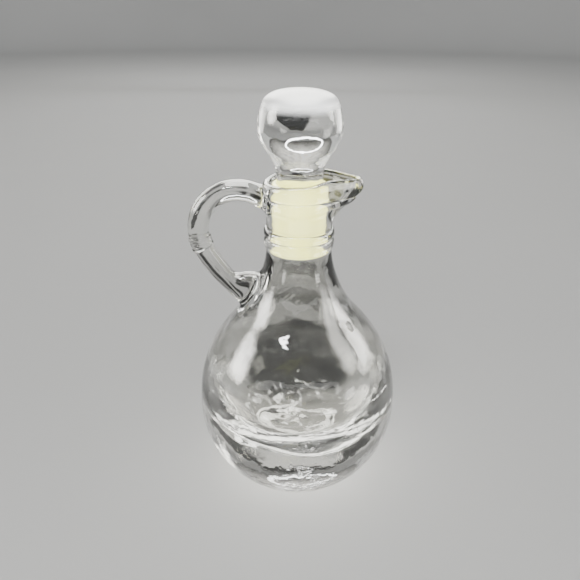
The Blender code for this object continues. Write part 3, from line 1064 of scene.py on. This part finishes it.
    def soften(self, thing: bpy.types.Object) -> None:
        """Round the creases where the handle meets the wall.

        Each vertex near a crease moves towards the mean of its neighbours, by a weight that
        falls with its distance from the crease and is 0 on the wall's inside.

        Args:
            thing: the fused bottle.
        """
        mesh = thing.data
        verts = np.empty(len(mesh.vertices) * 3, np.float32)
        mesh.vertices.foreach_get("co", verts)
        verts = verts.reshape(-1, 3).astype(float)
        edges = np.empty(len(mesh.edges) * 2, np.int32)
        mesh.edges.foreach_get("vertices", edges)
        a, b = edges.reshape(-1, 2).T
        count = np.bincount(np.concatenate([a, b]), minlength=len(verts))
        weight = np.zeros(len(verts))
        for x, height, reach in self.handle.creases:
            away = np.linalg.norm(verts - (self.axis_x + x, 0.0, height), axis=1)
            weight = np.maximum(weight, np.clip(self.soft_gain * (1.0 - away / reach), 0.0, 1.0))
        radius = np.hypot(verts[:, 0] - self.axis_x, verts[:, 1])
        inner = self.inside()
        order = np.argsort(inner[:, 1])
        inside = np.interp(verts[:, 2], inner[order, 1], inner[order, 0])
        weight *= np.interp(radius - inside, self.soft_skin, (0.0, 1.0))
        for _ in range(self.soft_rounds):
            total = np.zeros_like(verts)
            np.add.at(total, a, verts[b])
            np.add.at(total, b, verts[a])
            mean = total / np.maximum(count, 1)[:, None]
            verts += self.soft_pace * weight[:, None] * (mean - verts)
        mesh.vertices.foreach_set("co", verts.astype(np.float32).ravel())
        mesh.update()

    def build(self) -> None:
        """Build the bottle and dress it in glass."""
        bottle = skin("bottle_glass", move(self.wall(), self.axis_x))
        handle = skin("handle_rod", move(self.handle.tube(), self.axis_x), flip=True)
        pad = skin("handle_pad", move(self.handle.pad(), self.axis_x), flip=True)
        self.fuse(bottle, handle, Fuse.UNION)
        self.fuse(bottle, pad, Fuse.UNION)
        self.fuse(bottle, self.seeds(), Fuse.DIFFERENCE)
        self.soften(bottle)
        bottle.data.shade_smooth()
        bottle.data.set_sharp_from_angle(angle=SHARP)
        hide(bottle, Ray.SHADOW)
        dress(bottle, PressedGlass("bottle_glass", self.axis_x).material(), Slot.GLASS, "bottle")


@dataclass
class Stopper:
    """Solid glass stopper: a ball knob with a flattened crown and a tapered shank."""

    axis_x: float
    steps: int = 160
    top: float = 161.2 * MM
    crown_pulls: Two = mm(6.0, 11.4)
    crown_drop: float = 0.9 * MM
    rim: Two = mm(13.2, 157.6)
    rim_pull: Two = mm(14.3, 155.4)
    knob: Two = mm(15.6, 148.2)
    knob_pulls: Two = mm(3.8, 7.3)
    shank: Two = mm(9.0, 132.0)
    shank_pull: float = 4.8 * MM
    shank_taper: float = 0.35 * MM
    sleeve_top: float = 127.2 * MM
    end: Two = mm(8.0, 102.0)
    rounding: float = 1.6 * MM

    def profile(self) -> Array:
        """Draw the stopper's side from the crown down to the shank's end.

        Returns:
            (radius, height) rows.
        """
        radius, height = self.knob
        rise, fall = self.knob_pulls
        near, far = self.crown_pulls
        shank_r, shank_z = self.shank
        end_r, end_z = self.end
        crown = bezier((0, self.top), (near, self.top), (far, self.top - self.crown_drop), self.rim, 26)
        upper = bezier(crown[-1], self.rim_pull, (radius, height + rise), self.knob, 18)
        lower = bezier(upper[-1], (radius, height - fall), (shank_r, shank_z + self.shank_pull),
                       self.shank, 36)
        taper = np.linspace((shank_r, shank_z), (shank_r - self.shank_taper, self.sleeve_top), 8)[1:]
        low = np.linspace(taper[-1], (end_r, end_z + self.rounding), 24)[1:]
        end = arc((end_r - self.rounding, end_z + self.rounding), self.rounding, 0.0, -0.5 * math.pi, 10)
        return np.concatenate([[(0, self.top)], crown, upper, lower, taper, low, end[1:], [(0, end_z)]])

    def build(self) -> None:
        """Build the stopper and dress it in glass."""
        stopper = skin("stopper_glass", move(turned(self.profile(), self.steps), self.axis_x), flip=True)
        # The stopper's grey tint of painted shade is lighter.
        glass = PressedGlass("stopper_glass", self.axis_x, high_tint=(0.960, 0.958, 0.935),
                             wave_size=9.0 * MM, wave_depth=0.7 * MM)
        hide(stopper, Ray.SHADOW)
        dress(stopper, glass.material(), Slot.GLASS, "stopper")


@dataclass
class Sleeve:
    """Plastic cup round the shank, with three shallow grooves outside."""

    axis_x: float
    steps: int = 128
    radius: float = 10.3 * MM
    bottom: float = 100.3 * MM
    top: float = 127.2 * MM
    floor: float = 1.3 * MM
    rounding: float = 1.5 * MM
    shank_top: float = 8.65 * MM
    shank_end: float = 8.0 * MM
    shank_rounding: float = 1.6 * MM
    gap: float = 0.35 * MM
    edge: float = 0.3 * MM
    groove: float = 0.28 * MM
    groove_places: tuple[float, ...] = (0.36, 0.62, 0.86)
    groove_width: float = 0.02

    def outside(self) -> Array:
        """Draw the outside from its top down: straight, with shallow grooves, and a round end.

        Returns:
            (radius, height) rows.
        """
        height = np.linspace(self.top - self.edge, self.bottom + self.rounding, 70)
        share = (height - self.bottom) / (self.top - self.bottom)
        dips = sum(np.exp(-(((share - place) / self.groove_width) ** 2)) for place in self.groove_places)
        straight = np.stack([self.radius - self.groove * dips, height], 1)
        end = arc((self.radius - self.rounding, self.bottom + self.rounding), self.rounding,
                  0.0, -0.5 * math.pi, 10)
        return np.concatenate([[(self.radius - self.edge, self.top)], straight, end[1:], [(0, self.bottom)]])

    def inside(self) -> Array:
        """Draw the inside from the floor's middle up to the top's inner edge.

        Returns:
            (radius, height) rows.
        """
        low = self.shank_end + self.gap
        level = self.bottom + self.floor
        corner = arc((low - self.shank_rounding, level + self.shank_rounding), self.shank_rounding,
                     -0.5 * math.pi, 0.0, 10)
        rise = np.linspace(corner[-1], (self.shank_top + self.gap, self.top), 30)[1:]
        return np.concatenate([[(0, level)], corner, rise])

    def build(self) -> None:
        """Build the sleeve and dress it in plastic."""
        profile = np.concatenate([self.inside(), self.outside()])
        sleeve = skin("sleeve_cup", move(turned(profile, self.steps), self.axis_x), flip=True)
        sleeve.data.set_sharp_from_angle(angle=SHARP)
        dress(sleeve, CreamPlastic().material(), Slot.PLASTIC, "sleeve")


@dataclass(frozen=True)
class Lamp:
    """Soft lamp that faces the cruet and isn't seen through its glass."""

    name: str
    place: Three
    size: Two
    glow: float
    outline: Outline = Outline.RECTANGLE
    mirrored: bool = True

    def build(self, target: Vector) -> None:
        """Put the lamp in its place, turned to the target, with its face's glow as radiance.

        Args:
            target: the point that the lamp faces.
        """
        light = bpy.data.lights.new(self.name, "AREA")
        light.shape = self.outline.value
        light.size, light.size_y = self.size
        light.energy = self.glow * math.pi * self.size[0] * self.size[1]
        lamp = bpy.data.objects.new(self.name, light)
        lamp.location = self.place
        aim = target - Vector(self.place)
        lamp.rotation_euler = aim.to_track_quat("-Z", "Y").to_euler()
        lamp.visible_camera = False
        lamp.visible_transmission = False
        lamp.visible_glossy = self.mirrored
        bpy.context.scene.collection.objects.link(lamp)


@dataclass(frozen=True)
class RingLamp:
    """Oval band of light behind the cruet, which the camera doesn't see directly."""

    place: Three = (-0.08, 1.05, 0.30)
    reach: Two = (0.34, 0.17)
    width: float = 0.035
    glow: float = 9.0
    warm: Three = (1.0, 1.0, 1.0)
    cool: Three = (0.9, 0.92, 0.95)
    clouds: Grain = Grain(8.0, 2.0)

    def build(self) -> None:
        """Build the lamp as a flat oval band and light it.

        The band's points are the centre plus the two reaches, each less a share of the width,
        times the cosine and sine of an even turn.
        """
        turn = np.linspace(0.0, math.tau, 96, endpoint=False)
        inset = np.linspace(0.0, self.width, 3)[:, None]
        x = self.place[0] + (self.reach[0] - inset) * np.cos(turn)
        z = self.place[2] + (self.reach[1] - inset) * np.sin(turn)
        grid = np.stack([x, np.full_like(x, self.place[1]), z], 2)
        quads = squares(*grid.shape[:2])[2]
        ring = plain_object("ring_lamp", grid.reshape(-1, 3), quads.ravel(), np.full(len(quads), 4))
        graph = Graph.new("ring_lamp")
        graph.paint("Emission Color", graph.grain(graph.place(), self.clouds), self.warm, self.cool)
        graph.constants(Base_Color=(0.0, 0.0, 0.0, 1.0), Emission_Strength=self.glow)
        ring.data.materials.append(graph.material)
        hide(ring, Ray.CAMERA)


@dataclass(frozen=True)
class SoftPanel:
    """Lit panel whose glow fades to its edge, which only shiny and clear surfaces show."""

    name: str
    place: Three
    reach: Two
    glow: float
    core: float = 0.35
    seen_through: bool = True
    tint: Three = (1.0, 0.985, 0.93)
    even: float = 0.6
    fade: Two = (0.0, 0.05)
    clouds: Grain = Grain(7.0, 3.0, 0.5, (0.25, 0.6))

    def build(self, target: Vector) -> None:
        """Build the panel as a plate that faces the target, and light it.

        Args:
            target: the point that the panel faces.
        """
        ahead = np.array(target) - np.array(self.place)
        ahead /= np.linalg.norm(ahead)
        across = np.cross(ahead, (0.0, 0.0, 1.0))
        across /= np.linalg.norm(across)
        panel = plate(self.name, np.array(self.place), self.reach[0] * across,
                      self.reach[1] * np.cross(across, ahead))
        graph = Graph.new(self.name)
        clouds = graph.grain(graph.place(), self.clouds)
        edge = graph.ramp(graph.share(), (self.core, 1.0))
        lit = (1.0 - edge) * (self.even + (1.0 - self.even) * clouds)
        graph.paint("Emission Color", lit, (0.0, 0.0, 0.0), self.tint)
        graph.drive("Alpha", graph.ramp(lit, self.fade))
        graph.constants(Base_Color=(0.0, 0.0, 0.0, 1.0), Emission_Strength=self.glow, Roughness=1.0,
                        Specular_IOR_Level=0.0)
        panel.data.materials.append(graph.material)
        hide(panel, Ray.CAMERA, Ray.MATT, Ray.SHADOW)
        panel.visible_transmission = self.seen_through


@dataclass(frozen=True)
class DarkCard:
    """Dark card with soft edges on the table, which only the glass shows: painted shade."""

    name: str
    middle: Two
    reach: Two
    shade: float
    core: float = 0.8
    lift: float = 0.003
    light_gain: Three = (1.15, 1.15, 1.12)
    deep_gain: Three = (0.85, 0.85, 0.83)
    matt: float = 0.9
    clouds: Grain = Grain(9.0, 3.0)

    def build(self) -> None:
        """Build the card as a flat plate, paint it matt and let its edge fade."""
        card = plate(self.name, np.array([*self.middle, self.lift]), (self.reach[0], 0.0, 0.0),
                     (0.0, self.reach[1], 0.0))
        graph = Graph.new(self.name)
        light, deep = (self.shade * np.array(gain) for gain in (self.light_gain, self.deep_gain))
        graph.paint("Base Color", graph.grain(graph.place(), self.clouds), light, deep)
        graph.drive("Alpha", 1.0 - graph.ramp(graph.share(), (self.core, 1.0)))
        graph.constants(Roughness=self.matt, Specular_IOR_Level=0.0)
        card.data.materials.append(graph.material)
        hide(card, Ray.CAMERA, Ray.MATT, Ray.MIRRORED, Ray.SHADOW)


@dataclass
class Studio:
    """Pale table, grey room, lamps, panels and cards for the glass to show, and the camera."""

    axis_x: float
    lamps: tuple[Lamp, ...] = (
        Lamp("lamp_over", (-0.318, -0.520, 0.808), (0.26, 0.040), 100.0, Outline.ELLIPSE),
        Lamp("strip_front", (0.0, -0.90, 0.50), (2.2, 0.11), 1.6),
        Lamp("fill_front", (0.0, -1.0, 0.28), (0.90, 0.40), 34.0, mirrored=False),
        Lamp("sky", (0.0, 0.0, 3.0), (6.0, 6.0), 0.35, mirrored=False))
    panels: tuple[SoftPanel, ...] = (
        SoftPanel("window_left", (-0.84, -0.10, 0.40), (0.27, 0.28), 42.0),
        SoftPanel("window_right", (0.83, 0.18, 0.36), (0.34, 0.26), 24.0),
        SoftPanel("low_left", (-0.62, -0.62, 0.10), (0.14, 0.07), 12.0, seen_through=False),
        SoftPanel("low_right", (0.78, -0.42, 0.10), (0.16, 0.08), 12.0, seen_through=False),
        SoftPanel("near_left", (-0.085, 0.050, 0.140), (0.042, 0.045), 16.0, seen_through=False),
        SoftPanel("near_right", (0.090, 0.045, 0.142), (0.042, 0.045), 20.0, seen_through=False),
        SoftPanel("near_spout", (0.103, -0.037, 0.128), (0.034, 0.042), 12.0),
        SoftPanel("wall_back", (-0.06, 1.05, 0.98), (0.75, 0.85), 18.0, core=0.8, seen_through=False),
        SoftPanel("over_all", (0.0, 0.10, 1.30), (0.60, 0.78), 30.0, core=0.8, seen_through=False),
        SoftPanel("haze_back", (0.0, 1.40, 0.75), (1.20, 0.62), 1.30, core=0.2))
    # Painted shade that only the glass shows, laid on the table behind the cruet.
    cards: tuple[DarkCard, ...] = (
        DarkCard("card_far", (0.08, 0.95), (0.17, 0.66), 0.012),
        DarkCard("card_near", (0.001, 0.088), (0.032, 0.061), 0.028, core=0.75, lift=0.002),
        DarkCard("card_neck", (0.008, 0.238), (0.070, 0.048), 0.02, core=0.6, lift=0.002))
    ring: RingLamp = RingLamp()
    room_tint: Three = (0.98, 1.0, 1.0)
    room_strength: float = 0.66
    aim_height: float = 60.0 * MM
    table_rings: tuple[float, ...] = (0.0, 0.05, 0.4)
    table_reach: float = 1.8
    table_bend: float = 0.3
    camera_distance: float = 238.9 * MM
    camera_height: float = 197.0 * MM
    pitch: float = math.radians(25.5)
    yaw: float = math.radians(-0.80)
    roll: float = math.radians(0.40)
    lens: float = 40.97
    sensor: float = 36.0
    nearest: float = 10.0 * MM

    def table(self) -> None:
        """Flat round table that curves up into a low wall all round."""
        curve = arc((self.table_reach, self.table_bend), self.table_bend, -0.5 * math.pi, 0.0, 24)
        profile = np.concatenate([[(radius, 0.0) for radius in self.table_rings], curve])
        table = skin("table", turned(profile, 96), open_end=True)
        table.data.materials.append(TableTop().material())

    def lights(self) -> None:
        """Light the room grey, and set up the lamps, the panels, the ring and the cards."""
        world = bpy.data.worlds.new("room")
        world.use_nodes = True
        room = world.node_tree.nodes["Background"]
        room.inputs["Color"].default_value = (*self.room_tint, 1.0)
        room.inputs["Strength"].default_value = self.room_strength
        bpy.context.scene.world = world
        middle = Vector((self.axis_x, 0.0, self.aim_height))
        for lamp in self.lamps:
            lamp.build(middle)
        for panel in self.panels:
            panel.build(middle)
        self.ring.build()
        for card in self.cards:
            card.build()

    def camera(self) -> None:
        """Camera in front of the cruet, looking down at the photograph's angle."""
        right = np.array([math.cos(self.yaw), -math.sin(self.yaw), 0.0])
        level = np.array([math.sin(self.yaw), math.cos(self.yaw), 0.0])
        forward = math.cos(self.pitch) * level - math.sin(self.pitch) * np.array([0.0, 0.0, 1.0])
        up = np.cross(right, forward)
        across = right * math.cos(self.roll) + up * math.sin(self.roll)
        upward = -right * math.sin(self.roll) + up * math.cos(self.roll)
        eye = np.array([self.axis_x, -self.camera_distance, self.camera_height])
        data = bpy.data.cameras.new("camera")
        data.sensor_width = self.sensor
        data.lens = self.lens
        data.clip_start = self.nearest
        camera = bpy.data.objects.new("camera", data)
        columns = np.column_stack([across, upward, -forward])
        camera.matrix_world = Matrix.Translation(Vector(eye)) @ Matrix(columns.tolist()).to_4x4()
        bpy.context.scene.collection.objects.link(camera)
        bpy.context.scene.camera = camera

    def build(self) -> None:
        """Set up the table, the lights and the camera."""
        self.table()
        self.lights()
        self.camera()


def main() -> None:
    """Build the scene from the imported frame, piece by piece."""
    logging.basicConfig(level=logging.INFO, format="%(name)s %(message)s")
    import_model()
    low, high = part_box("stopper")
    axis_x = 0.5 * (low[0] + high[0])
    Studio(axis_x).build()
    Bottle(axis_x).build()
    Stopper(axis_x).build()
    Sleeve(axis_x).build()


if __name__ == "__main__":
    main()
